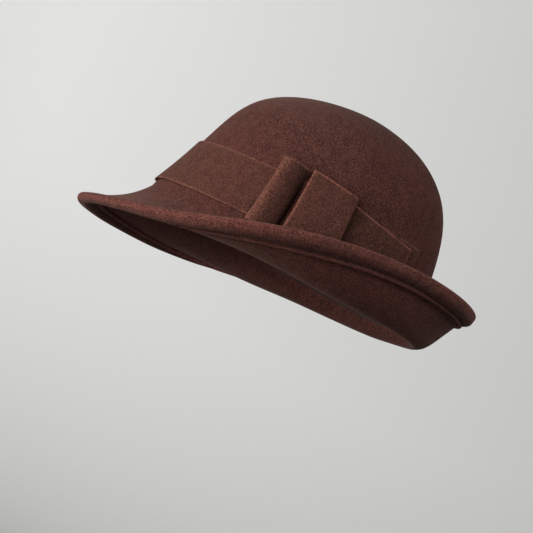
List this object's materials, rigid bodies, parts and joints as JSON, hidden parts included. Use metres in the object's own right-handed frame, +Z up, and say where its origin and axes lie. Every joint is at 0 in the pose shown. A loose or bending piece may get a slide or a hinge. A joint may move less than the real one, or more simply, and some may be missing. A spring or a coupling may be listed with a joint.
{
  "type": "felt hat",
  "caption": "Soft wool-felt hat with a round bowler crown, a brim turned down in front and up behind, a felt band and a side bow.",
  "frame": {"origin": "centre of the head opening, level with the foot of the crown", "axes": "+Z up through the crown, -Y towards the wearer's front, +X towards the wearer's left"},
  "size_m": [0.2708, 0.2914, 0.1541],
  "materials": {
    "hood_felt": "matte wool felt",
    "trim_felt": "matte wool felt",
    "ribbon": "ribbed grosgrain",
    "thread": "twisted thread",
    "label": "woven satin",
    "wire": "drawn"
  },
  "bodies": {
    "root": {"felt_hood": "hood_felt", "brim_wire": "wire", "wire_joiner": "wire", "hem_stitching": "thread", "crown_band": "trim_felt", "bow_loop": "trim_felt", "bow_flap": "trim_felt", "bow_tail": "trim_felt", "bow_tacks": "thread", "band_tacks": "thread", "sweatband": "ribbon", "sweatband_stitching": "thread", "sweatband_seam": "thread", "size_label": "label"}
  },
  "joints": []
}
